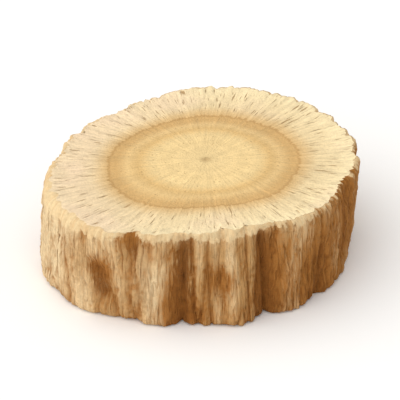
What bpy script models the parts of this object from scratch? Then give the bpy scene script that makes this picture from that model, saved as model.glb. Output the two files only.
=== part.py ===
"""One cut slice of dried astragalus root, lying on its lower cut face.

Metres, +Z up. The lower cut face is flat in the plane z = 0, and the origin is the middle of the slice's
box in that plane. Azimuths are in degrees, anticlockwise from +X as seen from above, so the side towards
-Y is at 270.
"""

import math
from collections import namedtuple

import bmesh
import bpy

MM = 0.001

# Driving dimensions of the slice
ROOT_RADIUS = 6.22 * MM
SLICE_THICKNESS = 3.90 * MM
WEDGE_RISE = 0.20 * MM  # the upper cut is this much higher at the -Y rim and lower at the +Y rim
FLARE = 0.24 * MM  # the lower rim stands this much further out towards -Y
TAPER = 0.30 * MM  # the lower rim is this much further in towards +X and -X
BELLY = 0.05 * MM
RIM_WEAR = 0.17 * MM
RIM_REACH = 0.09  # share of the thickness over which each rim is rounded

# The root isn't round: each lobe is (waves round the outline, height, azimuth of a crest)
LOBES = (
    (2, 0.44 * MM, 45.0),
    (3, 0.21 * MM, 330.0),
    (4, 0.09 * MM, 323.0),
    (5, 0.09 * MM, 235.0),
)

# Low swellings of the wall, and hollows where the height is negative: azimuth, half width, and how far it
# stands out at the lower rim and at the upper one
Swelling = namedtuple("Swelling", "azimuth half_width at_lower_rim at_upper_rim")
SWELLINGS = (
    Swelling(12.0, 1.20 * MM, 0.0, 0.14 * MM),
    Swelling(172.0, 1.80 * MM, 0.0, -0.24 * MM),
    Swelling(192.0, 2.00 * MM, 0.46 * MM, 0.0),
    Swelling(239.0, 1.50 * MM, -0.54 * MM, 0.0),
    Swelling(284.0, 0.75 * MM, 0.42 * MM, 0.0),
)

# Shrinkage furrows of the bark: azimuth at mid-height, depth, half width, degrees that it leans by
# from the lower rim to the upper one, and the shares of the thickness between which it runs
Furrow = namedtuple("Furrow", "azimuth depth half_width lean low high")
FURROWS = (
    Furrow(9.0, 0.26 * MM, 0.42 * MM, 4.0, -0.2, 1.08),
    Furrow(31.0, 0.34 * MM, 0.50 * MM, -3.0, -0.2, 1.08),
    Furrow(57.0, 0.22 * MM, 0.38 * MM, 5.0, -0.2, 0.75),
    Furrow(84.0, 0.36 * MM, 0.48 * MM, 2.0, -0.2, 1.08),
    Furrow(109.0, 0.24 * MM, 0.40 * MM, -5.0, 0.2, 1.08),
    Furrow(128.0, 0.38 * MM, 0.52 * MM, 3.0, -0.2, 1.08),
    Furrow(151.0, 0.24 * MM, 0.36 * MM, 4.0, -0.2, 1.08),
    Furrow(173.0, 0.32 * MM, 0.46 * MM, -3.0, -0.2, 1.08),
    Furrow(195.0, 0.18 * MM, 0.34 * MM, 2.0, -0.2, 0.8),
    Furrow(214.0, 0.16 * MM, 0.40 * MM, 3.0, -0.2, 1.2),
    Furrow(233.0, 0.34 * MM, 0.40 * MM, 1.0, 0.1, 0.72),
    Furrow(246.0, 0.24 * MM, 0.42 * MM, 2.0, 0.62, 1.2),
    Furrow(263.0, 0.44 * MM, 0.44 * MM, 1.0, -0.2, 1.06),
    Furrow(277.0, 0.16 * MM, 0.36 * MM, -2.0, 0.1, 0.8),
    Furrow(295.0, 0.46 * MM, 0.52 * MM, -1.0, -0.2, 1.06),
    Furrow(321.0, 0.24 * MM, 0.48 * MM, 3.0, -0.2, 0.7),
    Furrow(342.0, 0.30 * MM, 0.50 * MM, -2.0, 0.05, 1.2),
)

FURROW_RUN_OUT = 0.2  # share of the thickness in which a furrow that ends on the wall fades out

# The cut face: the wood inside the ring stands a little proud, with a groove round it
RING_SHARE = 0.57  # of the outline's radius
RING_WIDTH = 0.08
RING_GROOVE = 0.06 * MM
WOOD_CROWN = 0.05 * MM
PITH_OFFSET = (0.15 * MM, 0.10 * MM)

# Mesh density
COLUMNS = 160
WALL_SHARES = (0.03, 0.09, 0.2, 0.32, 0.44, 0.56, 0.68, 0.8, 0.91, 0.97, 1.0)
FACE_SHARES = (0.93, 0.84, 0.74, 0.66, 0.61, 0.57, 0.52, 0.44, 0.3, 0.14)

# Edges that turn by more than this stay sharp in the shading
SHARP_EDGE = math.radians(40.0)

# Root slice material
CUT_ROOT_COLOUR = (0.82, 0.62, 0.34, 1.0)
CUT_ROOT_ROUGHNESS = 0.85


def clear_scene():
    for obj in list(bpy.data.objects):
        bpy.data.objects.remove(obj, do_unlink=True)


def smooth_step(low, high, value):
    share = min(max((value - low) / (high - low), 0.0), 1.0)
    return share * share * (3.0 - 2.0 * share)


def turn_between(azimuth, other):
    """The shorter way round from one azimuth to another, in radians."""
    return (azimuth - other + math.pi) % (2.0 * math.pi) - math.pi


def swelling_height(swelling, azimuth, share):
    """How far one swelling stands out at this azimuth and share of the thickness."""
    across = turn_between(azimuth, math.radians(swelling.azimuth)) * ROOT_RADIUS / swelling.half_width
    height = swelling.at_lower_rim * (1.0 - share) + swelling.at_upper_rim * share
    return height * math.exp(-across * across)


def furrow_depth(furrow, azimuth, share):
    """How far one furrow cuts in at this azimuth and share of the thickness."""
    centre = math.radians(furrow.azimuth + furrow.lean * (share - 0.5))
    across = turn_between(azimuth, centre) * ROOT_RADIUS / furrow.half_width
    window = smooth_step(furrow.low, furrow.low + FURROW_RUN_OUT, share)
    window *= 1.0 - smooth_step(furrow.high - FURROW_RUN_OUT, furrow.high, share)
    return furrow.depth * window * math.exp(-across * across)


def rim_wear(share):
    """How much the rounding of the rims takes off the radius at this share of the thickness."""
    to_rim = min(share, 1.0 - share) / RIM_REACH
    if to_rim >= 1.0:
        return 0.0
    return RIM_WEAR * (1.0 - math.sqrt(1.0 - (1.0 - to_rim) ** 2))


def outline_radius(azimuth, share):
    """Radius of the bark wall at this azimuth and share of the thickness."""
    radius = ROOT_RADIUS
    for waves, height, crest in LOBES:
        radius += height * math.cos(waves * turn_between(azimuth, math.radians(crest)))
    towards_front = max(0.0, -math.sin(azimuth))
    radius += FLARE * (1.0 - share) * towards_front
    radius -= TAPER * (1.0 - share) * math.cos(azimuth) ** 2
    radius += BELLY * math.sin(math.pi * share)
    radius += sum(swelling_height(swelling, azimuth, share) for swelling in SWELLINGS)
    radius -= sum(furrow_depth(furrow, azimuth, share) for furrow in FURROWS)
    return radius - rim_wear(share)


def cut_height(x, y, face_share):
    """Height of the upper cut face, at this place and share of the way out from the pith."""
    wedge = -WEDGE_RISE * y / ROOT_RADIUS
    to_ring = (face_share - RING_SHARE) / RING_WIDTH
    groove = RING_GROOVE * math.exp(-to_ring * to_ring)
    crown = WOOD_CROWN * (1.0 - smooth_step(0.0, RING_SHARE, face_share))
    return SLICE_THICKNESS + wedge - groove + crown


def azimuth_of(column):
    return 2.0 * math.pi * column / COLUMNS


def wall_point(column, share):
    """A point of the bark wall, at this share of the thickness."""
    azimuth = azimuth_of(column)
    radius = outline_radius(azimuth, share)
    x = radius * math.cos(azimuth)
    y = radius * math.sin(azimuth)
    return x, y, share * cut_height(x, y, 1.0)


def face_point(column, face_share):
    """A point of the upper cut face. The rings close in on the pith, which is a little off centre."""
    azimuth = azimuth_of(column)
    radius = outline_radius(azimuth, 1.0) * face_share
    x = radius * math.cos(azimuth) + PITH_OFFSET[0] * (1.0 - face_share)
    y = radius * math.sin(azimuth) + PITH_OFFSET[1] * (1.0 - face_share)
    return x, y, cut_height(x, y, face_share)


def extrude_ring(bm, ring):
    """Extrudes a ring of edges once and returns the new corners, which still lie on the old ones."""
    edges = [bm.edges.get((ring[column - 1], ring[column])) for column in range(COLUMNS)]
    extruded = bmesh.ops.extrude_edge_only(bm, edges=edges)
    corners = {item for item in extruded["geom"] if isinstance(item, bmesh.types.BMVert)}
    new_ring = []
    for vert in ring:
        links = (edge.other_vert(vert) for edge in vert.link_edges)
        new_ring.append(next(other for other in links if other in corners))
    return new_ring


def next_ring(bm, ring, place):
    """Extrudes a ring of edges once and puts each new corner where place(column) says."""
    new_ring = extrude_ring(bm, ring)
    for column, vert in enumerate(new_ring):
        vert.co = place(column)
    return new_ring


def slice_mesh():
    """The slice from its lower face up the bark wall and in over the upper face to the pith."""
    bm = bmesh.new()
    lower = bmesh.ops.create_circle(bm, cap_ends=True, segments=COLUMNS, radius=ROOT_RADIUS)
    ring = sorted(lower["verts"], key=lambda vert: math.atan2(vert.co.y, vert.co.x) % (2.0 * math.pi))
    for column, vert in enumerate(ring):
        vert.co = wall_point(column, 0.0)
    for share in WALL_SHARES:
        ring = next_ring(bm, ring, lambda column: wall_point(column, share))
    for face_share in FACE_SHARES:
        ring = next_ring(bm, ring, lambda column: face_point(column, face_share))
    x, y = PITH_OFFSET
    bmesh.ops.pointmerge(bm, verts=extrude_ring(bm, ring), merge_co=(x, y, cut_height(x, y, 0.0)))
    bmesh.ops.recalc_face_normals(bm, faces=bm.faces[:])
    mesh = bpy.data.meshes.new("root_slice")
    bm.to_mesh(mesh)
    bm.free()
    return mesh


def centre_on_box(mesh):
    """Moves the mesh so that the middle of its box is over the origin."""
    xs = [vert.co.x for vert in mesh.vertices]
    ys = [vert.co.y for vert in mesh.vertices]
    middle_x = (min(xs) + max(xs)) / 2.0
    middle_y = (min(ys) + max(ys)) / 2.0
    for vert in mesh.vertices:
        vert.co.x -= middle_x
        vert.co.y -= middle_y


def cut_root_material():
    material = bpy.data.materials.new("cut_root")
    material.use_nodes = True
    shader = material.node_tree.nodes["Principled BSDF"]
    shader.inputs["Base Color"].default_value = CUT_ROOT_COLOUR
    shader.inputs["Roughness"].default_value = CUT_ROOT_ROUGHNESS
    shader.inputs["Metallic"].default_value = 0.0
    return material


def main():
    clear_scene()
    mesh = slice_mesh()
    centre_on_box(mesh)
    mesh.materials.append(cut_root_material())
    mesh.shade_smooth()
    mesh.set_sharp_from_angle(angle=SHARP_EDGE)
    root_slice = bpy.data.objects.new("root_slice", mesh)
    bpy.context.scene.collection.objects.link(root_slice)


if __name__ == "__main__":
    main()
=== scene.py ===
"""One cut slice of dried astragalus root, lying on a pale floor under soft studio light.

The slice grew as one piece and is one mesh: a blank is modelled ring by ring, then carved along the lobes,
furrows and creases of the bark and the rays of the cut faces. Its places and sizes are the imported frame's.
"""

import logging
import math
from dataclasses import dataclass, field
from enum import Enum
from functools import cached_property
from typing import Any, Sequence, Union

import bpy
import numpy as np
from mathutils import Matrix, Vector, noise

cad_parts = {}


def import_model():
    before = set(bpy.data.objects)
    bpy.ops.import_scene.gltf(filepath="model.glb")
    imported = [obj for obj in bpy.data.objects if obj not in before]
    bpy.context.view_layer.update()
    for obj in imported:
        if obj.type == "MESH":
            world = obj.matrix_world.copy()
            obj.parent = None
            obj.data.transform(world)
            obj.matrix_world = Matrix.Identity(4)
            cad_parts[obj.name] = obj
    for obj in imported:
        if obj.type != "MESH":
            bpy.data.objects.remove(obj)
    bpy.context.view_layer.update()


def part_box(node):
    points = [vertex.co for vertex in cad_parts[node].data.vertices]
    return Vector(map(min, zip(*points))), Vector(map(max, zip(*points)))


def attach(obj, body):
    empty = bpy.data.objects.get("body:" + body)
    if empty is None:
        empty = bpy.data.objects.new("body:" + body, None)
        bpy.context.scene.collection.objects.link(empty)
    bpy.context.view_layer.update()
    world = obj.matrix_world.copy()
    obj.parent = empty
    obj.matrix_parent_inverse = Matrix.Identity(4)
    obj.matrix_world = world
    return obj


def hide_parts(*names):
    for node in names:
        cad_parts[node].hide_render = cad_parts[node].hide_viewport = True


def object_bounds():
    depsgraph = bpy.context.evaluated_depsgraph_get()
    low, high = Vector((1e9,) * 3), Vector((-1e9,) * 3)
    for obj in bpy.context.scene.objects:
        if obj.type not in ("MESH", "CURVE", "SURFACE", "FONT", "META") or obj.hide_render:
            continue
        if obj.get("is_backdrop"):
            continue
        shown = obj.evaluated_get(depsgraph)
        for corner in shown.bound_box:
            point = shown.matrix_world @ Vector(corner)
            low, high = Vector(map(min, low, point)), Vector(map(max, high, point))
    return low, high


LOG = logging.getLogger("root_slice")
MM = 0.001
FULL_TURN = 2.0 * math.pi

# Each finer layer of a random field is this many times finer, and this steeply weaker
LAYER_STEP = 2.1
LAYER_FALL = 0.9

# A colour is linear red, green and blue
Colour = tuple[float, float, float]
Direction = tuple[float, float, float]
Stops = Sequence[tuple[float, Colour]]


class CutFace(Enum):
    """The two cut faces of the slice, by their height in shares of the thickness."""

    LOWER = 0.0
    UPPER = 1.0


class MaterialSlot(Enum):
    """Where each finish sits among the slice's material slots."""

    CUT = 0
    BARK = 1


def smooth_step(low: float, high: float, value: np.ndarray) -> np.ndarray:
    """Eases each value from 0 at the lower limit to 1 at the upper one."""
    share = np.clip((value - low) / (high - low), 0.0, 1.0)
    return share * share * (3.0 - 2.0 * share)


def turn_between(azimuth: np.ndarray, other: Union[float, np.ndarray]) -> np.ndarray:
    """Gives the shorter way round to each azimuth from another one, in radians from -pi to pi."""
    return (azimuth - other + math.pi) % FULL_TURN - math.pi


def grain(points: np.ndarray, octaves: int = 2) -> np.ndarray:
    """Reads a smooth field of bumps one unit apart, about -1 to 1 and the same on every run."""
    return np.array([noise.fractal(row, LAYER_FALL, LAYER_STEP, octaves) for row in points.tolist()])


@dataclass(frozen=True)
class Lobe:
    """One slow wave of the root's outline.

    Attributes:
        waves: how many crests go round the root.
        height: height of a crest in metres.
        crest: azimuth of a crest in degrees.
    """

    waves: int
    height: float
    crest: float

    def radius_gain(self, azimuth: np.ndarray) -> np.ndarray:
        """Gives how far the wave stands out at each azimuth."""
        return self.height * np.cos(self.waves * turn_between(azimuth, math.radians(self.crest)))


@dataclass(frozen=True)
class Swelling:
    """One low swelling of the wall, or a hollow where its height is negative.

    Attributes:
        azimuth: where its middle is, in degrees.
        half_width: distance from its middle at which little of it is left, in metres.
        at_lower_rim: how far it stands out at the lower rim, in metres.
        at_upper_rim: how far it stands out at the upper rim.
    """

    azimuth: float
    half_width: float
    at_lower_rim: float
    at_upper_rim: float

    def height(self, azimuth: np.ndarray, share: np.ndarray, radius: float) -> np.ndarray:
        """Gives how far the swelling stands out.

        Args:
            azimuth: azimuths in radians.
            share: shares of the thickness.
            radius: mean radius of the root.

        Returns:
            Lengths in metres.
        """
        across = turn_between(azimuth, math.radians(self.azimuth)) * radius / self.half_width
        height = self.at_lower_rim * (1.0 - share) + self.at_upper_rim * share
        return height * np.exp(-across * across)


@dataclass(frozen=True)
class Furrow:
    """One deep shrinkage furrow of the bark.

    Attributes:
        azimuth: where its middle is, in degrees.
        depth: how far it cuts in, in metres.
        half_width: distance from its middle at which little of it is left, in metres.
        lean: degrees that it moves round from the lower rim to the upper one.
        low: share of the thickness where it starts.
        high: share of the thickness where it ends.
    """

    azimuth: float
    depth: float
    half_width: float
    lean: float
    low: float = -0.2
    high: float = 1.2

    # Share of the thickness in which an end fades out, share of the depth that a narrow seam along the
    # middle has, and the seam's width in half widths of the furrow
    RUN_OUT = 0.2
    SEAM = 0.35
    SEAM_WIDTH = 0.3

    def profile(self, azimuth: np.ndarray, share: np.ndarray, radius: float, sway: np.ndarray) -> np.ndarray:
        """Gives how much of the furrow there is at each place.

        Args:
            azimuth: azimuths in radians.
            share: shares of the thickness.
            radius: mean radius of the root.
            sway: a turn in radians that bends the furrow's line.

        Returns:
            Shares of the furrow's depth, 1 along its middle.
        """
        middle = math.radians(self.azimuth) + math.radians(self.lean) * (share - 0.5) + sway
        across = turn_between(azimuth, middle) * radius / self.half_width
        window = smooth_step(self.low, self.low + self.RUN_OUT, share)
        window = window * (1.0 - smooth_step(self.high - self.RUN_OUT, self.high, share))
        seam = self.SEAM * np.exp(-np.abs(across) / self.SEAM_WIDTH)
        return window * ((1.0 - self.SEAM) * np.exp(-across * across) + seam)


@dataclass(frozen=True)
class Patch:
    """A soft-edged patch of the bark that is darker, or rubbed paler, than the rest, in some places as
    painted shade and painted light.

    Attributes:
        azimuth: where its middle is, in degrees.
        level: height of its middle in shares of the thickness.
        half_width: degrees from its middle at which little of it is left.
        half_height: shares of the thickness from its middle at which little of it is left.
        strength: how much of it there is in its middle, 0 to 1.
    """

    azimuth: float
    level: float
    half_width: float
    half_height: float
    strength: float

    def cover(self, azimuth: np.ndarray, share: np.ndarray) -> np.ndarray:
        """Gives how much of the patch there is at each place.

        Args:
            azimuth: azimuths in radians.
            share: shares of the thickness.

        Returns:
            Shares from 0 to the patch's strength.
        """
        across = turn_between(azimuth, math.radians(self.azimuth)) / math.radians(self.half_width)
        along = (share - self.level) / self.half_height
        return self.strength * np.exp(-(across**2) - along**2)


@dataclass(frozen=True)
class Zone:
    """A band of rings of the cut face with one number of columns.

    Attributes:
        columns: corners in each ring.
        outer_share: share of the radius where the zone ends.
        rings: how many rings it has.
    """

    columns: int
    outer_share: float
    rings: int


@dataclass
class Outline:
    """The root's outline, and how the bark wall runs between the two cuts.

    Attributes:
        radius: mean radius of the root.
        thickness: mean thickness of the slice.
        wedge_rise: how much higher the upper cut is at the -Y rim than in the middle.
        flare: how far the lower rim stands out towards -Y.
        taper: how far the lower rim is drawn in towards +X and -X.
        belly: how far the wall stands out half way up.
        rim_wear: what the worn rims take off the radius.
        rim_reach: share of the thickness over which each rim is worn.
        scuffed_wear: how much further the wear goes where the bark is rubbed away.
        lobes: the slow waves of the outline.
        swellings: the swellings and hollows of the wall.
        furrows: the furrows of the wall.
    """

    radius: float = 6.22 * MM
    thickness: float = 3.90 * MM
    wedge_rise: float = 0.20 * MM
    flare: float = 0.24 * MM
    taper: float = 0.30 * MM
    belly: float = 0.05 * MM
    rim_wear: float = 0.16 * MM
    rim_reach: float = 0.085
    scuffed_wear: float = 0.8
    lobes: tuple[Lobe, ...] = (
        Lobe(2, 0.44 * MM, 45.0),
        Lobe(3, 0.21 * MM, 330.0),
        Lobe(4, 0.09 * MM, 323.0),
        Lobe(5, 0.09 * MM, 235.0),
    )
    swellings: tuple[Swelling, ...] = (
        Swelling(12.0, 1.20 * MM, 0.0, 0.14 * MM),
        Swelling(172.0, 1.80 * MM, 0.0, -0.24 * MM),
        Swelling(192.0, 2.00 * MM, 0.46 * MM, 0.0),
        Swelling(239.0, 1.50 * MM, -0.54 * MM, 0.0),
        Swelling(284.0, 0.75 * MM, 0.42 * MM, 0.0),
    )
    furrows: tuple[Furrow, ...] = (
        Furrow(9.0, 0.26 * MM, 0.42 * MM, 4.0, high=1.08),
        Furrow(31.0, 0.34 * MM, 0.50 * MM, -3.0, high=1.08),
        Furrow(57.0, 0.22 * MM, 0.38 * MM, 5.0, high=0.75),
        Furrow(84.0, 0.36 * MM, 0.48 * MM, 2.0, high=1.08),
        Furrow(109.0, 0.24 * MM, 0.40 * MM, -5.0, low=0.2, high=1.08),
        Furrow(128.0, 0.38 * MM, 0.52 * MM, 3.0, high=1.08),
        Furrow(151.0, 0.24 * MM, 0.36 * MM, 4.0, high=1.08),
        Furrow(173.0, 0.32 * MM, 0.46 * MM, -3.0, high=1.08),
        Furrow(195.0, 0.18 * MM, 0.34 * MM, 2.0, high=0.8),
        Furrow(214.0, 0.16 * MM, 0.40 * MM, 3.0),
        Furrow(233.0, 0.34 * MM, 0.40 * MM, 1.0, low=0.1, high=0.72),
        Furrow(246.0, 0.24 * MM, 0.42 * MM, 2.0, low=0.62),
        Furrow(263.0, 0.44 * MM, 0.44 * MM, 1.0, high=1.06),
        Furrow(277.0, 0.16 * MM, 0.36 * MM, -2.0, low=0.1, high=0.8),
        Furrow(295.0, 0.46 * MM, 0.52 * MM, -1.0, high=1.06),
        Furrow(321.0, 0.24 * MM, 0.48 * MM, 3.0, high=0.7),
        Furrow(342.0, 0.30 * MM, 0.50 * MM, -2.0, low=0.05),
    )

    def lobed_radius(self, azimuth: np.ndarray, reach: np.ndarray) -> np.ndarray:
        """Gives the outline with no furrows, which is rounder the nearer it is to the pith."""
        return self.radius + reach * sum(lobe.radius_gain(azimuth) for lobe in self.lobes)

    def wall_shift(self, azimuth: np.ndarray, share: np.ndarray) -> np.ndarray:
        """Gives how far the wall stands out from the outline, or in from it where the number is negative.

        Args:
            azimuth: azimuths in radians.
            share: shares of the thickness.

        Returns:
            Lengths in metres.
        """
        towards_front = np.maximum(0.0, -np.sin(azimuth))
        shift = self.flare * (1.0 - share) * towards_front
        shift = shift - self.taper * (1.0 - share) * np.cos(azimuth) ** 2
        shift = shift + self.belly * np.sin(math.pi * share)
        return shift + sum(swelling.height(azimuth, share, self.radius) for swelling in self.swellings)

    def worn_rim(self, share: np.ndarray, chips: np.ndarray, scuffs_and_light: np.ndarray) -> np.ndarray:
        """Gives what the worn rims take off the radius.

        Args:
            share: shares of the thickness.
            chips: how strongly each place is worn, 1 on average.
            scuffs_and_light: how much the bark is rubbed away, 0 to 1; the same field paints light on the
                lit side.

        Returns:
            Lengths in metres, 0 away from the rims.
        """
        more = 1.0 + self.scuffed_wear * scuffs_and_light
        to_rim = np.clip(np.minimum(share, 1.0 - share) / (self.rim_reach * more), 0.0, 1.0)
        return self.rim_wear * more * chips * (1.0 - np.sqrt(1.0 - (1.0 - to_rim) ** 2))

    def furrow_depths(self, azimuth: np.ndarray, share: np.ndarray, sway: np.ndarray) -> np.ndarray:
        """Gives how deep the furrows are at each place, in metres."""
        return sum(f.depth * f.profile(azimuth, share, self.radius, sway) for f in self.furrows)


@dataclass(frozen=True)
class CreaseKind:
    """The creases of one kind.

    Attributes:
        size: distance between neighbouring creases, in metres.
        stretch: how many times longer than wide they are, below 1 where they run crosswise.
        depth: how deep they are, in metres.
        rubbed: share of them that is taken away where the bark is rubbed.
        mark: how strongly the colour darkens them, partly the bark's own darker colour and partly painted
            shade.
        shift: moves the field, so that two kinds differ.
    """

    size: float
    stretch: float
    depth: float
    rubbed: float
    mark: float
    shift: float

    # How narrow a crease is against the ridges beside it
    SHARPNESS = 0.12

    def fold(self, around: np.ndarray) -> np.ndarray:
        """Measures how far each place is from the nearest crease.

        Args:
            around: places on the bark in metres, with the height along z.

        Returns:
            0 in the bottom of a crease, rising to about 0.6 on the ridges.
        """
        rows = around / self.size
        rows[:, 2] /= self.stretch
        return np.abs(grain(rows + self.shift, 2))

    def valleys(self, fold: np.ndarray, scuffs_and_light: np.ndarray) -> np.ndarray:
        """Gives 1 in the bottom of a crease and 0 on the ridges, and less where the bark is rubbed."""
        return np.exp(-fold / self.SHARPNESS) * (1.0 - self.rubbed * scuffs_and_light)


@dataclass
class Creases:
    """The wrinkles that drying left in the bark, its short cross cracks, and the lumps under them.

    Attributes:
        coarse: the deep lengthwise creases.
        fine: the shallow lengthwise creases between them.
        cross: the cracks across the ridges.
        cracked_size: size of the areas that have cross cracks.
        cracked_shift: moves those areas away from the other fields' pattern.
        lump_size: size of the low lumps under the creases.
        lump_height: height of the lumps.
        grit_size: size of the grains of cork.
        grit_height: height of the grains.
    """

    coarse: CreaseKind = CreaseKind(0.92 * MM, 7.0, 0.19 * MM, 0.6, 0.7, 0.0)
    fine: CreaseKind = CreaseKind(0.32 * MM, 4.5, 0.085 * MM, 0.5, 0.45, 7.3)
    cross: CreaseKind = CreaseKind(0.6 * MM, 0.3, 0.04 * MM, 0.0, 0.4, 23.1)
    cracked_size: float = 1.38 * MM
    cracked_shift: float = 4.7
    lump_size: float = 0.8 * MM
    lump_height: float = 0.05 * MM
    grit_size: float = 0.12 * MM
    grit_height: float = 0.026 * MM

    def lines(
        self, around: np.ndarray, coarse_fold: np.ndarray, scuffs_and_light: np.ndarray
    ) -> list[tuple[CreaseKind, np.ndarray]]:
        """Finds where the creases of each kind run.

        Args:
            around: places on the bark in metres, with the height along z.
            coarse_fold: how far each place is from the nearest coarse crease.
            scuffs_and_light: how much the bark is rubbed away, 0 to 1; the same field paints light on the
                lit side.

        Returns:
            Each kind, with 1 in the bottom of its creases and 0 away from them.
        """
        coarse = self.coarse.valleys(coarse_fold, scuffs_and_light)
        fine = self.fine.valleys(self.fine.fold(around), scuffs_and_light)
        cracked = smooth_step(0.0, 0.35, grain(around / self.cracked_size + self.cracked_shift, 1))
        cross = self.cross.valleys(self.cross.fold(around), scuffs_and_light) * cracked
        return [(self.coarse, coarse), (self.fine, fine), (self.cross, cross)]

    def lumps(self, around: np.ndarray) -> np.ndarray:
        """Gives the height of the lumps and the grains of cork together."""
        low = self.lump_height * grain(around / self.lump_size, 2)
        return low + self.grit_height * grain(around / self.grit_size, 2)


@dataclass
class CutRelief:
    """The relief of a cut face: wood, ring, rays and the marks of the blade.

    Heights are in metres, shares are of the way out from the pith, a count is of features for each radian
    round the pith, and a run is how often they change on the way out.
    """

    ring_share: float = 0.57
    ring_width: float = 0.08
    ring_groove: float = 0.06 * MM
    wood_crown: float = 0.05 * MM
    bark_sag: float = 0.05 * MM
    sag_shares: tuple[float, float] = (0.75, 0.86)
    rays: float = 0.020 * MM
    ray_shares: tuple[float, float] = (0.08, 0.3)
    ray_count: float = 20.0
    ray_run: float = 3.0
    fibres: float = 0.024 * MM
    fibre_shares: tuple[float, float] = (0.6, 0.72)
    fibre_count: float = 34.0
    fibre_run: float = 9.0
    blade_marks: float = 0.022 * MM
    blade_spacing: float = 0.42 * MM
    blade_stretch: float = 14.0
    blade_angle: float = 24.0
    fuzz: float = 0.010 * MM
    fuzz_size: float = 0.13 * MM
    swell: float = 0.045 * MM
    swell_size: float = 3.6 * MM

    def heights(self, place: np.ndarray, spoke: np.ndarray, reach: np.ndarray, side: float) -> np.ndarray:
        """Adds up the relief.

        Args:
            place: places on the face in metres.
            spoke: unit directions from the pith, as rows of x, y and 0.
            reach: share of the way out from the pith.
            side: a number that makes the two faces differ.

        Returns:
            Heights along the outward normal in metres, above the plane of the cut.
        """
        ring = np.exp(-(((reach - self.ring_share) / self.ring_width) ** 2))
        wood = 1.0 - smooth_step(0.0, self.ring_share, reach)
        sag_from, sag_to = self.sag_shares
        inner_bark = smooth_step(self.ring_share, sag_from, reach) * (1.0 - smooth_step(sag_to, 1.0, reach))
        height = self.wood_crown * wood - self.ring_groove * ring - self.bark_sag * inner_bark
        along = reach[:, None] * np.array([0.0, 0.0, 1.0])
        rays = grain(spoke * self.ray_count + along * self.ray_run + side, 2)
        height += self.rays * smooth_step(*self.ray_shares, reach) * rays
        fibres = grain(spoke * self.fibre_count + along * self.fibre_run - side, 2)
        height += self.fibres * smooth_step(*self.fibre_shares, reach) * fibres
        height += self.blade_marks * self.blade_field(place, side)
        height += self.fuzz * grain(place / self.fuzz_size + side, 2)
        height += self.swell * grain(place / self.swell_size + 3.0 * side, 1)
        return height

    def blade_field(self, place: np.ndarray, side: float) -> np.ndarray:
        """Finds the long low marks that a blade leaves across the face in one direction.

        Args:
            place: places on the face in metres.
            side: a number that makes the two faces differ.

        Returns:
            One value for each place, about -1 to 1.
        """
        angle = math.radians(self.blade_angle * side)
        along = place[:, 0] * math.cos(angle) + place[:, 1] * math.sin(angle)
        across = place[:, 1] * math.cos(angle) - place[:, 0] * math.sin(angle)
        along = along / (self.blade_stretch * self.blade_spacing)
        return grain(np.stack([along, across / self.blade_spacing, side + 0.0 * along], 1), 2)


class Sock:
    """A node's output socket, which can stand in arithmetic."""

    def __init__(self, graph: "Graph", socket: bpy.types.NodeSocket) -> None:
        """Keeps the graph that new nodes are added to, and the socket."""
        self.graph = graph
        self.socket = socket

    def maths(self, operation: str, *values: Any) -> "Sock":
        """Adds one Math node, with numbers or sockets for its inputs in order."""
        return self.graph.add("ShaderNodeMath", {"operation": operation}, dict(enumerate(values)))

    def __add__(self, other: Any) -> "Sock":
        """Adds a number or a socket."""
        return self.maths("ADD", self, other)

    def __radd__(self, other: Any) -> "Sock":
        """Adds to a number."""
        return self.maths("ADD", other, self)

    def __sub__(self, other: Any) -> "Sock":
        """Takes away a number or a socket."""
        return self.maths("SUBTRACT", self, other)

    def __rsub__(self, other: Any) -> "Sock":
        """Is taken away from a number."""
        return self.maths("SUBTRACT", other, self)

    def __mul__(self, other: Any) -> "Sock":
        """Multiplies by a number or a socket."""
        return self.maths("MULTIPLY", self, other)

    def __rmul__(self, other: Any) -> "Sock":
        """Multiplies a number."""
        return self.maths("MULTIPLY", other, self)

    def __abs__(self) -> "Sock":
        """Drops the sign."""
        return self.maths("ABSOLUTE", self)

    def other(self, name: str) -> "Sock":
        """Gives another output of the same node."""
        return Sock(self.graph, self.socket.node.outputs[name])

    def sine(self) -> "Sock":
        """Gives the sine of the value in radians."""
        return self.maths("SINE", self)

    def clipped(self) -> "Sock":
        """Keeps the value between 0 and 1."""
        return self.graph.add("ShaderNodeClamp", {}, {"Value": self})

    def eased(self, low: float, high: float) -> "Sock":
        """Eases from 0 to 1 while the value goes from low to high, or from 1 to 0 if low is the larger.

        Args:
            low: the value where the result is 0.
            high: the value where the result is 1.

        Returns:
            The eased share.
        """
        values = {"Value": self, "From Min": low, "From Max": high}
        if low > high:
            values.update({"From Min": high, "From Max": low, "To Min": 1.0, "To Max": 0.0})
        return self.graph.add("ShaderNodeMapRange", {"interpolation_type": "SMOOTHSTEP"}, values)


@dataclass(frozen=True)
class Splits:
    """One kind of short thin split.

    Attributes:
        count: splits for each radian round the root's axis.
        run: how many follow one another from one end to the other.
        rarity: 0.5 for many, towards 1 for few.
    """

    count: float
    run: float
    rarity: float

    # How gradually a split opens, in values of the noise
    EDGE = 0.16


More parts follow.
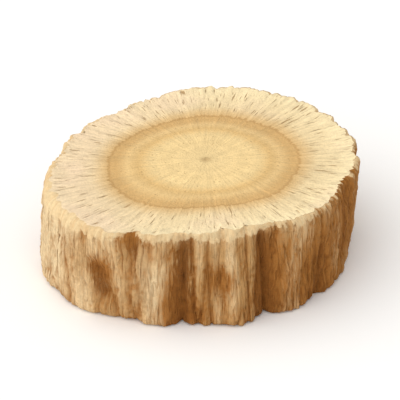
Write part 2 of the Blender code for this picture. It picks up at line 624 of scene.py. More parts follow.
class Graph:
    """A material's node tree and the few kinds of node that the finishes use."""

    def __init__(self, name: str) -> None:
        """Makes the material with its shader node alone.

        Args:
            name: the material's name.
        """
        self.material = bpy.data.materials.new(name)
        self.material.use_nodes = True
        self.tree = self.material.node_tree
        self.shader = self.tree.nodes["Principled BSDF"]

    def add(self, kind: str, settings: dict[str, Any], values: dict[Any, Any], output: Any = 0) -> Sock:
        """Adds one node.

        Args:
            kind: the node's type.
            settings: its properties, and a ramp's stops, which are set first.
            values: numbers, colours or sockets for its inputs, by name or place.
            output: name or place of the output that is handed back.

        Returns:
            The output's socket.
        """
        node = self.tree.nodes.new(kind)
        for name, value in settings.items():
            if name == "stops":
                self.set_stops(node, value)
            else:
                setattr(node, name, value)
        for name, value in values.items():
            self.connect(node.inputs[name], value)
        return Sock(self, node.outputs[output])

    def set_stops(self, node: bpy.types.Node, stops: Stops) -> None:
        """Gives a ramp its places and colours.

        Args:
            node: the ramp.
            stops: the places from 0 to 1, each with its colour.
        """
        elements = node.color_ramp.elements
        while len(elements) < len(stops):
            elements.new(1.0)
        for element, (place, colour) in zip(elements, stops):
            element.position = place
            element.color = (*colour, 1.0)

    def connect(self, target: bpy.types.NodeSocket, value: Any) -> None:
        """Links a socket to an input, or sets the input's own value.

        Args:
            target: the input.
            value: a socket, or a number, a colour or a vector.
        """
        if isinstance(value, Sock):
            self.tree.links.new(value.socket, target)
        elif isinstance(value, tuple) and target.type == "RGBA":
            target.default_value = (*value, 1.0)
        else:
            target.default_value = value

    @cached_property
    def place(self) -> Sock:
        """The place on the slice in millimetres."""
        return self.scaled(self.add("ShaderNodeTexCoord", {}, {}, "Object"), 1.0 / MM)

    @cached_property
    def spoke(self) -> Sock:
        """The unit direction out from the root's axis."""
        return self.attribute("spoke", "Vector")

    def attribute(self, name: str, output: str = "Fac") -> Sock:
        """Reads what the carving stored on the mesh under this name."""
        return self.add("ShaderNodeAttribute", {"attribute_name": name}, {}, output)

    def scaled(self, vector: Sock, scale: float) -> Sock:
        """Multiplies a vector by a number."""
        return self.add("ShaderNodeVectorMath", {"operation": "SCALE"}, {0: vector, "Scale": scale})

    def dot(self, vector: Sock, direction: Direction) -> Sock:
        """Measures a vector along a direction."""
        values = {0: vector, 1: direction}
        return self.add("ShaderNodeVectorMath", {"operation": "DOT_PRODUCT"}, values, "Value")

    def upright(self, height: Sock) -> Sock:
        """Makes a vector that has only a height."""
        return self.add("ShaderNodeCombineXYZ", {}, {"Z": height})

    def clouds(self, place: Sock, scale: float, detail: float = 2.0, roughness: float = 0.5) -> Sock:
        """Adds a noise texture with this many features a unit, whose value is about 0.5 on average."""
        values = {"Vector": place, "Scale": scale, "Detail": detail, "Roughness": roughness}
        return self.add("ShaderNodeTexNoise", {}, values, "Fac")

    def spoked(self, count: float, along: Sock, detail: float = 2.0, roughness: float = 0.5) -> Sock:
        """Adds a noise texture that is drawn out along the spokes, or up the wall.

        Args:
            count: features for each radian round the root's axis.
            along: a vector that only changes in the direction of the drawing out.
            detail: how many finer layers it has.
            roughness: how strong the finer layers are.

        Returns:
            Its value, about 0.5 on average.
        """
        values = {0: self.scaled(self.spoke, count), 1: along}
        place = self.add("ShaderNodeVectorMath", {"operation": "ADD"}, values)
        return self.clouds(place, 1.0, detail, roughness)

    def splits(self, along: Sock, kind: Splits) -> Sock:
        """Finds short thin splits that all run one way, 1 in a split and 0 away from it."""
        lengthwise = self.spoked(kind.count, self.upright(along * kind.run), 1.0, 0.4)
        return lengthwise.eased(kind.rarity, kind.rarity + kind.EDGE)

    def mix(self, factor: Any, first: Any, second: Any, blend: str = "MIX") -> Sock:
        """Mixes two colours, of which the factor is the second one's share."""
        settings = {"data_type": "RGBA", "blend_type": blend, "clamp_factor": True}
        return self.add("ShaderNodeMix", settings, {0: factor, 6: first, 7: second}, 2)

    def shaded(self, colour: Any, change: Sock) -> Sock:
        """Makes a colour lighter by a share of itself, or darker where the share is negative."""
        grey = self.add("ShaderNodeCombineColor", {}, dict.fromkeys((0, 1, 2), 1.0 + change))
        return self.mix(1.0, colour, grey, "MULTIPLY")

    def finish(
        self, colour: Sock, roughness: Sock, height: Sock, depth: float, sheen: float
    ) -> bpy.types.Material:
        """Links the surface's colour, roughness and bump to the shader.

        Args:
            colour: the base colour.
            roughness: the roughness.
            height: the bump's height, 0 to 1.
            depth: what a height of 1 stands for, in metres.
            sheen: how much the surface mirrors, 0.5 for smooth wood and less for dry wood.

        Returns:
            The finished material.
        """
        values = {"Strength": 1.0, "Distance": depth, "Height": height}
        bump = self.add("ShaderNodeBump", {}, values, "Normal")
        self.connect(self.shader.inputs["Base Color"], colour)
        self.connect(self.shader.inputs["Roughness"], roughness)
        self.connect(self.shader.inputs["Normal"], bump)
        self.shader.inputs["Specular IOR Level"].default_value = sheen
        return self.material


@dataclass(frozen=True)
class CutFinish:
    """The dry cut surface: yellow wood, a darker ring and cream inner bark, all with radial grain.

    Rays and fibres are counted for each radian round the pith, and what doesn't run out from it for each
    millimetre. A run is how often a mark changes along its length. A strength is the share of the colour
    that a mark takes up or changes. The growth rings are a wave that turns by so many radians on the way
    out. The edges of the zones wander by shares of the radius.
    """

    pith: Colour = (0.66, 0.45, 0.20)
    wood_core: Colour = (0.865, 0.65, 0.325)
    wood: Colour = (0.895, 0.665, 0.325)
    inner_ring: Colour = (0.765, 0.51, 0.212)
    wood_edge: Colour = (0.80, 0.557, 0.254)
    ring: Colour = (0.685, 0.435, 0.176)
    seam: Colour = (0.46, 0.24, 0.07)
    ring_outside: Colour = (0.775, 0.537, 0.258)
    inner_bark: Colour = (0.87, 0.682, 0.39)
    cream: Colour = (0.92, 0.74, 0.438)
    edge: Colour = (0.945, 0.782, 0.478)
    cork: Colour = (0.42, 0.25, 0.11)
    blush: Colour = (0.90, 0.69, 0.47)
    vessel: Colour = (0.36, 0.20, 0.08)
    cleft: Colour = (0.44, 0.25, 0.095)
    blushed_side: Direction = (-1.0, 0.1, 0.0)
    along_blade: Direction = (0.91, 0.42, 0.0)
    across_blade: Direction = (-0.42, 0.91, 0.0)
    blade_run: float = 0.22
    blade_count: float = 5.0
    ray_counts: tuple[float, float, float] = (9.0, 19.0, 33.0)
    ray_run: float = 2.5
    ray_strength: float = 0.42
    fibre_count: float = 52.0
    fibre_run: float = 14.0
    fibre_strength: float = 0.36
    growth_turn: float = 62.0
    growth_strength: float = 0.028
    pore_count: float = 5.2
    pore_strength: float = 0.4
    fuzz_count: float = 9.0
    fuzz_strength: float = 0.36
    patch_count: float = 0.6
    patch_strength: float = 0.16
    hair_splits: Splits = Splits(74.0, 9.0, 0.62)
    open_splits: Splits = Splits(40.0, 6.0, 0.68)
    split_strength: float = 0.8
    seam_strength: float = 0.5
    wander: float = 0.05
    ray_wander: float = 0.07
    bump_depth: float = 0.08 * MM
    sheen: float = 0.22

    def material(self) -> bpy.types.Material:
        """Builds the finish.

        Returns:
            The material for both cut faces.
        """
        g = Graph("cut_root")
        place = g.place
        reach = g.attribute("reach")
        rays = self.rays(g, reach)
        sway = (g.clouds(place, 0.45) - 0.5) * self.wander
        wavy = reach + sway + (rays - 0.5) * self.ray_wander
        colour = g.add("ShaderNodeValToRGB", {"stops": self.zones()}, {"Fac": wavy}, "Color")
        one_side = g.dot(g.spoke, self.blushed_side).eased(0.0, 1.0) * 0.6
        blush = (g.clouds(place, 0.33).eased(0.5, 0.68) * 0.4 + one_side) * reach.eased(0.6, 0.8)
        colour = g.mix(blush, colour, self.blush)
        seam = wavy.eased(0.588, 0.602) * wavy.eased(0.62, 0.606)
        colour = g.mix(seam * self.seam_strength, colour, self.seam)
        colour = self.grained(g, colour, reach, rays)
        cork = reach.eased(0.982, 0.998) * g.attribute("scuff").eased(0.6, 0.1)
        colour = g.mix(cork * g.clouds(place, 3.0, 3.0).eased(0.35, 0.5), colour, self.cork)
        fissures = self.fissures(g, reach)
        colour = g.mix(fissures * self.split_strength, colour, self.cleft)
        fuzz = g.clouds(place, 13.0, 3.0, 0.65)
        height = fuzz * 0.65 + rays * 0.5 + self.blade_marks(g) * 0.35 - fissures * 0.4
        roughness = 0.72 + g.clouds(place, 2.0, 3.0) * 0.25
        return g.finish(colour, roughness, height, self.bump_depth, self.sheen)

    def fissures(self, g: Graph, reach: Sock) -> Sock:
        """Finds the radial splits of the inner bark, 1 in a split and 0 away from it."""
        both = g.splits(reach, self.hair_splits) + g.splits(reach, self.open_splits) * 1.6
        return both.clipped() * reach.eased(0.6, 0.7) * reach.eased(1.0, 0.95)

    def blade_marks(self, g: Graph) -> Sock:
        """Adds the faint straight scratches that the blade left across the face.

        Args:
            g: the graph of the material.

        Returns:
            A value about 0.5 that changes from scratch to scratch.
        """
        across = g.dot(g.place, self.across_blade) * self.blade_count
        along = g.dot(g.place, self.along_blade) * self.blade_run
        lengthwise = g.add("ShaderNodeCombineXYZ", {}, {"X": across, "Y": along})
        return g.clouds(lengthwise, 1.0, 3.0, 0.6)

    def zones(self) -> Stops:
        """Lists the colours of the zones, from the pith out to the cork.

        Returns:
            Shares of the radius, each with its colour.
        """
        return (
            (0.0, self.pith),
            (0.045, self.wood_core),
            (0.22, self.wood),
            (0.34, self.wood),
            (0.415, self.inner_ring),
            (0.48, self.wood_edge),
            (0.555, self.ring),
            (0.585, self.ring),
            (0.645, self.ring_outside),
            (0.72, self.inner_bark),
            (0.83, self.cream),
            (0.96, self.edge),
        )

    def rays(self, g: Graph, reach: Sock) -> Sock:
        """Adds the radial grain, with fewer rays near the pith so that they keep their width.

        Args:
            g: the graph of the material.
            reach: share of the way out from the pith.

        Returns:
            A value about 0.5 that changes from ray to ray.
        """
        along = g.upright(reach * self.ray_run)
        core, middle, outer = (g.spoked(count, along) for count in self.ray_counts)
        inner = core + (middle - core) * reach.eased(0.12, 0.3)
        return inner + (outer - inner) * reach.eased(0.34, 0.56)

    def grained(self, g: Graph, colour: Sock, reach: Sock, rays: Sock) -> Sock:
        """Adds rays, growth rings, pores, fibres and fuzz to the plain zones.

        Args:
            g: the graph of the material.
            colour: the colour of the zones.
            reach: share of the way out from the pith.
            rays: the radial grain.

        Returns:
            The colour with its grain.
        """
        place = g.place
        colour = g.shaded(colour, (rays - 0.5) * reach.eased(0.03, 0.2) * self.ray_strength)
        growth = (reach * self.growth_turn + g.clouds(place, 0.8) * 5.0).sine()
        in_wood = reach.eased(0.05, 0.12) * reach.eased(0.56, 0.5)
        colour = g.shaded(colour, growth * in_wood * self.growth_strength)
        cells = {"Vector": place, "Scale": self.pore_count}
        pores = g.add("ShaderNodeTexVoronoi", {}, cells, "Distance")
        pore_zone = reach.eased(0.1, 0.2) * reach.eased(0.6, 0.52) * pores.other("Color").eased(0.5, 0.62)
        colour = g.mix(pores.eased(0.26, 0.12) * pore_zone * self.pore_strength, colour, self.vessel)
        fibres = g.spoked(self.fibre_count, g.upright(reach * self.fibre_run), 3.0, 0.6)
        colour = g.shaded(colour, (fibres - 0.5) * reach.eased(0.6, 0.7) * self.fibre_strength)
        fuzz = g.clouds(place, self.fuzz_count, 3.0, 0.65)
        colour = g.shaded(colour, (fuzz - 0.5) * self.fuzz_strength)
        patches = g.clouds(place, self.patch_count)
        return g.shaded(colour, (patches - 0.5) * self.patch_strength)


@dataclass(frozen=True)
class BarkFinish:
    """The thin corky bark: tan ridges, reddish-brown furrows and fine lengthwise streaks, with its darker
    creases and furrows partly painted shade, and its paler ridge tops partly painted light.

    Counts, runs and strengths are as for the cut surface, with runs up the wall. The wrinkle counts are for
    the narrow wrinkles, the wide ones, negative so that they differ, and the areas that have narrow ones.
    """

    ridge: Colour = (0.72, 0.47, 0.23)
    pale: Colour = (0.86, 0.66, 0.39)
    mid: Colour = (0.56, 0.32, 0.125)
    # Rust and furrow darken wrinkles, cracks, stains, creases and furrows; in creases, furrows and on the
    # side away from the key light this is partly painted shade
    rust: Colour = (0.40, 0.162, 0.034)
    furrow: Colour = (0.26, 0.095, 0.018)
    flesh: Colour = (0.86, 0.665, 0.385)
    streak_count: float = 30.0
    streak_run: float = 2.2
    wrinkle_counts: tuple[float, float, float] = (48.0, -22.0, 6.0)
    hair_cracks: Splits = Splits(80.0, 3.0, 0.6)
    open_cracks: Splits = Splits(38.0, 1.4, 0.66)
    crest_strength: float = 0.55
    wrinkle_strength: float = 0.36
    crack_strength: float = 0.7
    crease_strength: float = 0.75
    fleck_strength: float = 0.8
    bare_strength: float = 0.88
    bump_depth: float = 0.16 * MM
    sheen: float = 0.12

    def material(self) -> bpy.types.Material:
        """Builds the finish.

        Returns:
            The material for the wall of the slice.
        """
        g = Graph("root_bark")
        names = ("share", "hollow", "crease", "crest", "stain", "scuff")
        share, hollow, crease, crest, stain, scuff = (g.attribute(name) for name in names)
        along = g.upright(share * self.streak_run)
        streaks = g.spoked(self.streak_count, along, 5.0, 0.68)
        patches = g.clouds(g.place, 0.8, 4.0, 0.6)
        flecks = g.clouds(g.place, 6.0, 5.0, 0.7)
        edges = (flecks + streaks - 1.0) * 2.0
        tone = patches * 0.3 + streaks * 0.3 + crest * 0.4
        colour = g.mix(tone.eased(0.28, 0.66), self.mid, self.ridge)
        # Paler ridge tops away from creases and furrows: partly the cork's own tone, partly painted light
        lit = crest.eased(0.3, 1.0) * streaks.eased(0.6, 0.38)
        pale = lit * (1.0 - stain) * self.crest_strength
        # Paler where the bark is rubbed, and painted light on the side towards the key light
        colour = g.mix((pale + scuff * (1.3 + edges)).clipped(), colour, self.pale)
        wrinkles = self.wrinkles(g, along)
        colour = g.mix(wrinkles * self.wrinkle_strength, colour, self.rust)
        cracks = self.cork_cracks(g, share)
        colour = g.mix(cracks * self.crack_strength, colour, self.furrow)
        # Darker where stained, and painted shade on the side away from the key light
        marked = stain * 1.1 + edges * 0.35 + wrinkles * 0.15
        colour = g.mix(marked.eased(0.15, 0.95) * (0.95 - lit * 0.36), colour, self.rust)
        # Darker creases and furrows: partly the bark's own colour, partly painted shade
        creased = (crease + edges * 0.3).eased(0.15, 0.8)
        colour = g.mix(creased * self.crease_strength, colour, self.rust)
        lines = crease * (0.3 + stain * 0.45) + wrinkles * (0.2 + stain * 0.45)
        deep = (hollow + lines + edges * 0.5).eased(0.35, 1.0)
        colour = g.mix(deep * (0.3 + share.eased(1.0, 0.8) * 0.54), colour, self.furrow)
        colour = g.shaded(colour, (flecks - 0.5) * self.fleck_strength)
        to_rim = share.eased(0.8, 1.04) + share.eased(0.04, -0.03) + scuff * share.eased(0.6, 1.0) * 0.5
        chips = g.clouds(g.place, 2.4, 5.0, 0.7) * 0.5 + streaks * 0.5
        bare = (to_rim + (chips - 0.5) * 2.6 - crease * 0.3 - stain * 0.5).eased(0.38, 0.64)
        inside = g.mix(streaks.eased(0.4, 0.64) * 0.55 + crease * 0.3, self.flesh, self.ridge)
        colour = g.mix(bare * self.bare_strength, colour, g.shaded(inside, (flecks - 0.5) * 0.5))
        height = flecks * 0.5 + streaks * 0.35 - wrinkles * (1.0 - bare) * 0.2 - bare * 0.1 - cracks * 0.12
        return g.finish(colour, 0.78 + flecks * 0.2, height, self.bump_depth, self.sheen)

    def wrinkles(self, g: Graph, along: Sock) -> Sock:
        """Finds the thin lengthwise wrinkles of the dried skin.

        Args:
            g: the graph of the material.
            along: a vector that only changes with the height.

        Returns:
            1 in the bottom of a wrinkle and 0 away from it.
        """
        narrow, wide, areas = (g.spoked(count, along, 2.0, 0.6) for count in self.wrinkle_counts)
        some = areas.eased(0.4, 0.62)
        lines = abs(narrow - 0.5).eased(0.07, 0.0) * some * 0.7
        return (lines + abs(wide - 0.5).eased(0.06, 0.0) * (1.0 - some * 0.6)).clipped()

    def cork_cracks(self, g: Graph, share: Sock) -> Sock:
        """Finds the lengthwise cracks of the cork, 1 in a crack and 0 away from it."""
        fine = g.splits(share, self.hair_cracks) * 0.7
        return (fine + g.splits(share, self.open_cracks) * 1.4).clipped()


@dataclass(frozen=True)
class FloorFinish:
    """A matt pale floor."""

    colour: Colour = (0.98, 0.98, 0.978)
    cloudiness: float = 0.01
    cloud_count: float = 0.05
    roughness: float = 0.9
    sheen: float = 0.2

    def material(self) -> bpy.types.Material:
        """Builds the finish.

        Returns:
            The floor's material.
        """
        g = Graph("studio_floor")
        clouds = g.clouds(g.place, self.cloud_count)
        colour = g.shaded(self.colour, (clouds - 0.5) * self.cloudiness)
        g.connect(g.shader.inputs["Base Color"], colour)
        g.shader.inputs["Roughness"].default_value = self.roughness
        g.shader.inputs["Specular IOR Level"].default_value = self.sheen
        return g.material


@dataclass
class BakeMap:
    """The map that textures are baked through: the two round faces, and the wall in two strips.

    Attributes:
        disc: half of the width that a face has in the map.
        strip: height of each strip of the wall.
        gap: width of the gaps between them.
        spare: radius that a disc has room for, in mean radii of the root.
    """

    disc: float = 0.235
    strip: float = 0.22
    gap: float = 0.012
    spare: float = 1.12

    def lay_out(self, mesh: bpy.types.Mesh, share: np.ndarray, radius: float) -> None:
        """Gives the mesh its map.

        Args:
            mesh: the carved slice, whose faces have their finishes.
            share: height of each corner in shares of the thickness.
            radius: mean radius of the root.
        """
        layer = mesh.uv_layers.new(name="OFBake")
        middle = self.disc + self.gap
        scale = self.disc / (self.spare * radius)
        spots = np.empty((len(mesh.loops), 2))
        for face in mesh.polygons:
            ids = list(face.vertices)
            xs = [mesh.vertices[i].co.x for i in ids]
            ys = [mesh.vertices[i].co.y for i in ids]
            loops = slice(face.loop_start, face.loop_start + face.loop_total)
            if face.material_index == MaterialSlot.CUT.value:
                shift = 0.5 if share[ids[0]] > 0.5 else 0.0
                spots[loops, 0] = middle + shift + np.array(xs) * scale
                spots[loops, 1] = middle + np.array(ys) * scale
                continue
            angle = math.atan2(sum(ys), sum(xs))
            turns = np.array([turn_between(math.atan2(y, x), angle) for x, y in zip(xs, ys)]) + angle
            far_half = angle > 0.0
            along = turns / math.pi + (0.0 if far_half else 1.0)
            base = 2.0 * middle + self.gap + (self.strip + self.gap if far_half else 0.0)
            spots[loops, 0] = self.gap + along * (1.0 - 2.0 * self.gap)
            spots[loops, 1] = base + share[ids] * self.strip
        layer.data.foreach_set("uv", spots.astype(np.float32).ravel())


@dataclass
class RootSlice:
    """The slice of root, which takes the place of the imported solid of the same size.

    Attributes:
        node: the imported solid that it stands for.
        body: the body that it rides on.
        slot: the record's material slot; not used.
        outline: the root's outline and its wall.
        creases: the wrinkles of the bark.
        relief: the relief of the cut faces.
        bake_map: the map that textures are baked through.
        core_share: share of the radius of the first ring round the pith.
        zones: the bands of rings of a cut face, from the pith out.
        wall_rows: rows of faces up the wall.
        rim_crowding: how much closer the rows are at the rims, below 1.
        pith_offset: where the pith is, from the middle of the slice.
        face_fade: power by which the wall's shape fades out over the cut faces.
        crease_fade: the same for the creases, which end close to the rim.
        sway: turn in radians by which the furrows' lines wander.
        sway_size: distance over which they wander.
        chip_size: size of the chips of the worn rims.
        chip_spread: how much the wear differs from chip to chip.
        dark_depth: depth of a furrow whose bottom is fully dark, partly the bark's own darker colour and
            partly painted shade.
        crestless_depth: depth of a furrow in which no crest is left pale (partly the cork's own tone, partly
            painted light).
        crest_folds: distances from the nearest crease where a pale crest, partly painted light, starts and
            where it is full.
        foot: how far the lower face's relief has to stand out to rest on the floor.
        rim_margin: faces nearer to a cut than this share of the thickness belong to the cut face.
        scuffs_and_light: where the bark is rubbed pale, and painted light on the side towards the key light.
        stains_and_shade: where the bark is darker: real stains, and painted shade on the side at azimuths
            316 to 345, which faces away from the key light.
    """

    node: str = "root_slice"
    body: str = "root"
    slot: str = "cut_root"
    outline: Outline = field(default_factory=Outline)
    creases: Creases = field(default_factory=Creases)
    relief: CutRelief = field(default_factory=CutRelief)
    bake_map: BakeMap = field(default_factory=BakeMap)
    core_share: float = 0.03
    zones: tuple[Zone, ...] = (
        Zone(96, 0.22, 14),
        Zone(192, 0.46, 18),
        Zone(384, 0.84, 30),
        Zone(768, 1.0, 16),
    )
    wall_rows: int = 44
    rim_crowding: float = 0.5
    pith_offset: tuple[float, float] = (0.15 * MM, 0.10 * MM)
    face_fade: float = 5.0
    crease_fade: float = 16.0
    sway: float = 0.035
    sway_size: float = 1.6 * MM
    chip_size: float = 0.45 * MM
    chip_spread: float = 0.9
    dark_depth: float = 0.36 * MM
    crestless_depth: float = 0.2 * MM
    crest_folds: tuple[float, float] = (0.12, 0.5)
    foot: float = 0.02 * MM
    rim_margin: float = 1e-4
    scuffs_and_light: tuple[Patch, ...] = (
        # Painted light as well as rubbed bark: the first two patches make the side towards the key light
        # paler
        Patch(207.0, 0.95, 17.0, 0.24, 1.0),
        Patch(204.0, 0.45, 17.0, 0.6, 1.0),
        Patch(252.0, 0.45, 7.0, 0.4, 0.5),
        Patch(262.0, 1.0, 45.0, 0.10, 0.45),
        Patch(95.0, 0.6, 9.0, 0.5, 0.6),
        Patch(140.0, 0.9, 20.0, 0.15, 0.7),
        Patch(20.0, 0.3, 8.0, 0.4, 0.5),
    )
    stains_and_shade: tuple[Patch, ...] = (
        Patch(188.0, 0.8, 6.0, 0.3, 0.5),
        Patch(234.0, 0.55, 5.0, 0.17, 1.0),
        Patch(245.0, 0.96, 5.0, 0.16, 0.9),
        Patch(259.5, 0.3, 5.0, 0.5, 0.85),
        Patch(268.0, 0.12, 14.0, 0.25, 0.6),
        Patch(277.0, 0.5, 6.0, 0.16, 0.9),
        Patch(297.0, 0.35, 7.0, 0.6, 1.0),
        # Painted shade: these three patches darken the side that faces away from the key light, down to its
        # lower rim
        Patch(316.0, 0.4, 15.0, 0.6, 0.8),
        Patch(320.0, 0.05, 8.0, 0.25, 0.7),
        Patch(345.0, 0.6, 20.0, 0.8, 1.0),
        Patch(12.0, 0.8, 10.0, 0.2, 0.8),
        Patch(60.0, 0.4, 12.0, 0.3, 0.9),
        Patch(118.0, 0.3, 14.0, 0.25, 0.8),
        Patch(172.0, 0.55, 10.0, 0.3, 0.8),
    )

    def build(self) -> bpy.types.Object:
        """Models, carves and dresses the slice.

        Returns:
            The finished piece.
        """
        piece = self.blank()
        self.carve(piece)
        self.dress(piece)
        self.bake_map.lay_out(piece.data, self.shares(piece.data), self.outline.radius)
        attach(piece, self.body)
        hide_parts(self.node)
        return piece

    def blank(self) -> bpy.types.Object:
        """Models the plain disc: two ringed faces, with the rows of the wall bridged between them.

        Returns:
            A closed disc of the root's mean radius and the slice's thickness.
        """
        bpy.ops.object.select_all(action="DESELECT")
        first = self.zones[0]
        share = self.core_share
        bpy.ops.mesh.primitive_circle_add(
            vertices=first.columns, radius=self.outline.radius * share, fill_type="TRIFAN"
        )
        piece = bpy.context.active_object
        piece.name = "dressed_root_slice"
        bpy.ops.object.mode_set(mode="EDIT")
        bpy.ops.mesh.select_mode(type="EDGE")
        for zone in self.zones:
            self.select_open_edges()
            if zone is not first:
                bpy.ops.mesh.subdivide(number_cuts=1)
                self.select_open_edges()
            step = (zone.outer_share - share) / zone.rings
            for _ in range(zone.rings):
                growth = (share + step) / share
                bpy.ops.mesh.extrude_edges_move()
                bpy.ops.transform.resize(value=(growth, growth, 1.0), center_override=(0.0, 0.0, 0.0))
                share += step
        bpy.ops.mesh.select_all(action="SELECT")
        rise = (0.0, 0.0, self.outline.thickness)
        bpy.ops.mesh.duplicate_move(TRANSFORM_OT_translate={"value": rise})
        self.select_open_edges()
        bpy.ops.mesh.bridge_edge_loops(number_cuts=self.wall_rows - 1, interpolation="LINEAR")
        bpy.ops.mesh.select_all(action="SELECT")
        bpy.ops.mesh.normals_make_consistent(inside=False)
        bpy.ops.object.mode_set(mode="OBJECT")
        return piece

    def select_open_edges(self) -> None:
        """Selects only the edges that have a face on one side."""
        bpy.ops.mesh.select_all(action="DESELECT")
        bpy.ops.mesh.select_non_manifold(
            use_wire=False,
            use_boundary=True,
            use_multi_face=False,
            use_non_contiguous=False,
            use_verts=False,
        )

    def carve(self, piece: bpy.types.Object) -> None:
        """Moves every corner of the blank to its place on the root, and stores what the finishes read.

        Args:
            piece: the blank, whose mesh is changed.
        """
        mesh = piece.data
        corners = np.empty(len(mesh.vertices) * 3, np.float32)
        mesh.vertices.foreach_get("co", corners)
        corners = corners.reshape(-1, 3).astype(np.float64)
        azimuth = np.arctan2(corners[:, 1], corners[:, 0])
        reach = np.clip(np.hypot(corners[:, 0], corners[:, 1]) / self.outline.radius, 0.0, 1.0)
        level = np.clip(corners[:, 2] / self.outline.thickness, 0.0, 1.0)
        share = level - self.rim_crowding * np.sin(FULL_TURN * level) / FULL_TURN
        spoke = np.stack([np.cos(azimuth), np.sin(azimuth), 0.0 * azimuth], 1)
        around = spoke * self.outline.radius
        around[:, 2] = share * self.outline.thickness

        sway = self.sway * grain(around / self.sway_size, 1)
        furrows = self.outline.furrow_depths(azimuth, share, sway)
        # Rubbed bark, with painted light on the side towards the key light
        scuffs_and_light = sum(patch.cover(azimuth, share) for patch in self.scuffs_and_light)
        # Darker bark: real stains, and painted shade on the side away from the key light
        stains_and_shade = sum(patch.cover(azimuth, share) for patch in self.stains_and_shade)
        fold = self.creases.coarse.fold(around)
        lines = self.creases.lines(around, fold, scuffs_and_light)
        cuts = sum(kind.depth * line for kind, line in lines) - self.creases.lumps(around)
        chips = 1.0 + self.chip_spread * grain(around / self.chip_size, 2)

        radius = reach * self.outline.lobed_radius(azimuth, reach)
        radius += reach**self.face_fade * (self.outline.wall_shift(azimuth, share) - furrows)
        radius -= reach**self.crease_fade * (cuts + self.outline.worn_rim(share, chips, scuffs_and_light))
        x = radius * spoke[:, 0] + self.pith_offset[0] * (1.0 - reach)
        y = radius * spoke[:, 1] + self.pith_offset[1] * (1.0 - reach)

        top = self.outline.thickness - self.outline.wedge_rise * y / self.outline.radius
        lift = self.face_relief(np.stack([x, y, 0.0 * x], 1), spoke, reach, level)
        carved = self.fitted(np.stack([x, y, share * top + lift], 1))
        mesh.vertices.foreach_set("co", carved.astype(np.float32).ravel())
        # How much the colour darkens in creases and furrows: partly the bark's own colour, partly painted
        # shade
        marks = sum(kind.mark * line for kind, line in lines)
        outside_furrows = 1.0 - np.clip(furrows / self.crestless_depth, 0.0, 1.0)
        fields = {
            "reach": reach,
            "share": share,
            "hollow": np.clip(furrows / self.dark_depth, 0.0, 1.0),
            "crease": np.clip(marks, 0.0, 1.0),
            "crest": smooth_step(*self.crest_folds, fold) * outside_furrows,
            "stain": np.clip(stains_and_shade, 0.0, 1.0),
            "scuff": np.clip(scuffs_and_light, 0.0, 1.0),
            "spoke": spoke,
        }
        for name, values in fields.items():
            self.store(mesh, name, values)
        mesh.update()

    def face_relief(
        self, place: np.ndarray, spoke: np.ndarray, reach: np.ndarray, level: np.ndarray
    ) -> np.ndarray:
        """Works out how far the relief of the cut faces lifts each corner.

        Args:
            place: places of the corners in metres, with no height.
            spoke: unit directions from the pith.
            reach: share of the way out from the pith.
            level: height on the blank in shares of the thickness.

        Returns:
            Heights in metres, 0 on the wall.
        """
        lift = np.zeros(len(level))
        for face in CutFace:
            on_face = np.isclose(level, face.value)
            side = 1.0 + face.value
            height = self.relief.heights(place[on_face], spoke[on_face], reach[on_face], side)
            lift[on_face] = height if face is CutFace.UPPER else np.maximum(0.0, self.foot - height)
        return lift

    def fitted(self, carved: np.ndarray) -> np.ndarray:
        """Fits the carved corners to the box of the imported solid.

        Args:
            carved: the corners as carved.

        Returns:
            The corners, moved and scaled by the little that the fine relief changed.
        """
        low, high = (np.array(corner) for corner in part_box(self.node))
        own_low, own_high = carved.min(0), carved.max(0)
        LOG.info("carved box %s mm, packed box %s mm", (own_high - own_low) / MM, (high - low) / MM)
        return low + (carved - own_low) * (high - low) / (own_high - own_low)

    def store(self, mesh: bpy.types.Mesh, name: str, values: np.ndarray) -> None:
        """Stores one number or one vector for each corner, for the finishes to read.

        Args:
            mesh: the mesh that keeps the values.
            name: the attribute's name.
            values: one row for each corner.
        """
        kind, key = ("FLOAT_VECTOR", "vector") if values.ndim == 2 else ("FLOAT", "value")
        layer = mesh.attributes.new(name, kind, "POINT")
        layer.data.foreach_set(key, values.astype(np.float32).ravel())

    def dress(self, piece: bpy.types.Object) -> None:
        """Gives the cut faces and the wall their finishes, and smooths the shading.

        Args:
            piece: the carved slice.
        """
        mesh = piece.data
        mesh.materials.append(CutFinish().material())
        mesh.materials.append(BarkFinish().material())
        share = self.shares(mesh)
        faces = np.array([share[list(face.vertices)].mean() for face in mesh.polygons])
        on_wall = (faces > self.rim_margin) & (faces < 1.0 - self.rim_margin)
        slots = np.where(on_wall, MaterialSlot.BARK.value, MaterialSlot.CUT.value)
        mesh.polygons.foreach_set("material_index", slots.astype(np.int32))
        mesh.shade_smooth()

    def shares(self, mesh: bpy.types.Mesh) -> np.ndarray:
        """Reads back how high each corner is, in shares of the thickness.

        Args:
            mesh: the carved mesh.

        Returns:
            One number for each corner.
        """
        values = np.empty(len(mesh.vertices), np.float32)
        mesh.attributes["share"].data.foreach_get("value", values)
        return values


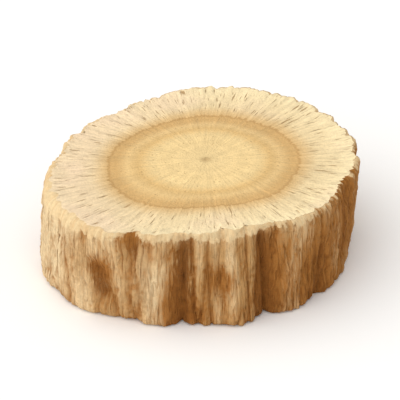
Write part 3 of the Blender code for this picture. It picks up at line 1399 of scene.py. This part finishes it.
@dataclass
class Studio:
    """The pale floor, the soft light and the camera, with sizes in metres and angles in degrees."""

    floor_size: float = 2.0
    floor_drop: float = 0.01 * MM
    sky: Colour = (1.0, 0.995, 0.985)
    sky_strength: float = 0.61
    key_strength: float = 2.05
    key_colour: Colour = (1.0, 0.975, 0.94)
    key_azimuth: float = 202.0
    key_elevation: float = 50.0
    key_softness: float = 110.0
    lens: float = 600.0
    camera_azimuth: float = 270.0
    camera_elevation: float = 31.0
    frame_fill: float = 0.80
    near_clip: float = 0.01
    far_clip: float = 10.0

    def build(self) -> None:
        """Sets up the floor, the light and the camera."""
        self.lay_floor()
        self.light()
        self.place_camera()
        bpy.context.scene.view_settings.view_transform = "Standard"

    def lay_floor(self) -> None:
        """Adds the floor as one sheet, just under the slice."""
        bpy.ops.object.select_all(action="DESELECT")
        bpy.ops.mesh.primitive_plane_add(size=self.floor_size, location=(0.0, 0.0, -self.floor_drop))
        floor = bpy.context.active_object
        floor.name = "floor"
        bpy.ops.object.transform_apply(location=True, rotation=True, scale=True)
        floor.data.materials.append(FloorFinish().material())
        floor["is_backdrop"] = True

    def light(self) -> None:
        """Adds the even sky and the broad key light from the front left."""
        world = bpy.data.worlds.new("studio")
        world.use_nodes = True
        background = world.node_tree.nodes["Background"]
        background.inputs["Color"].default_value = (*self.sky, 1.0)
        background.inputs["Strength"].default_value = self.sky_strength
        bpy.context.scene.world = world
        key = bpy.data.lights.new("key", "SUN")
        key.energy = self.key_strength
        key.color = self.key_colour
        key.angle = math.radians(self.key_softness)
        lamp = bpy.data.objects.new("key", key)
        bpy.context.scene.collection.objects.link(lamp)
        towards = self.direction(self.key_azimuth, self.key_elevation)
        lamp.rotation_euler = towards.to_track_quat("Z", "Y").to_euler()

    def direction(self, azimuth: float, elevation: float) -> Vector:
        """Gives the unit direction out to a place in the studio.

        Args:
            azimuth: degrees anticlockwise from +X.
            elevation: degrees above the floor.

        Returns:
            The direction.
        """
        flat = math.cos(math.radians(elevation))
        turn = math.radians(azimuth)
        return Vector((flat * math.cos(turn), flat * math.sin(turn), math.sin(math.radians(elevation))))

    def place_camera(self) -> None:
        """Adds the camera in front of the slice, looking down at it, so that it fills most of the frame."""
        data = bpy.data.cameras.new("camera")
        data.lens = self.lens
        data.clip_start = self.near_clip
        data.clip_end = self.far_clip
        camera = bpy.data.objects.new("camera", data)
        bpy.context.scene.collection.objects.link(camera)
        low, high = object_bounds()
        middle = (low + high) / 2.0
        back = self.direction(self.camera_azimuth, self.camera_elevation)
        distance = (high.x - low.x) / self.frame_fill * self.lens / data.sensor_width
        camera.location = middle + back * distance
        camera.rotation_euler = back.to_track_quat("Z", "Y").to_euler()
        bpy.context.scene.camera = camera


def main() -> None:
    """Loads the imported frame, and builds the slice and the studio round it."""
    logging.basicConfig(level=logging.INFO, format="%(message)s")
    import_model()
    piece = RootSlice().build()
    LOG.info("%s: %d faces", piece.name, len(piece.data.polygons))
    Studio().build()
    LOG.info("studio: floor, light and camera")


if __name__ == "__main__":
    main()
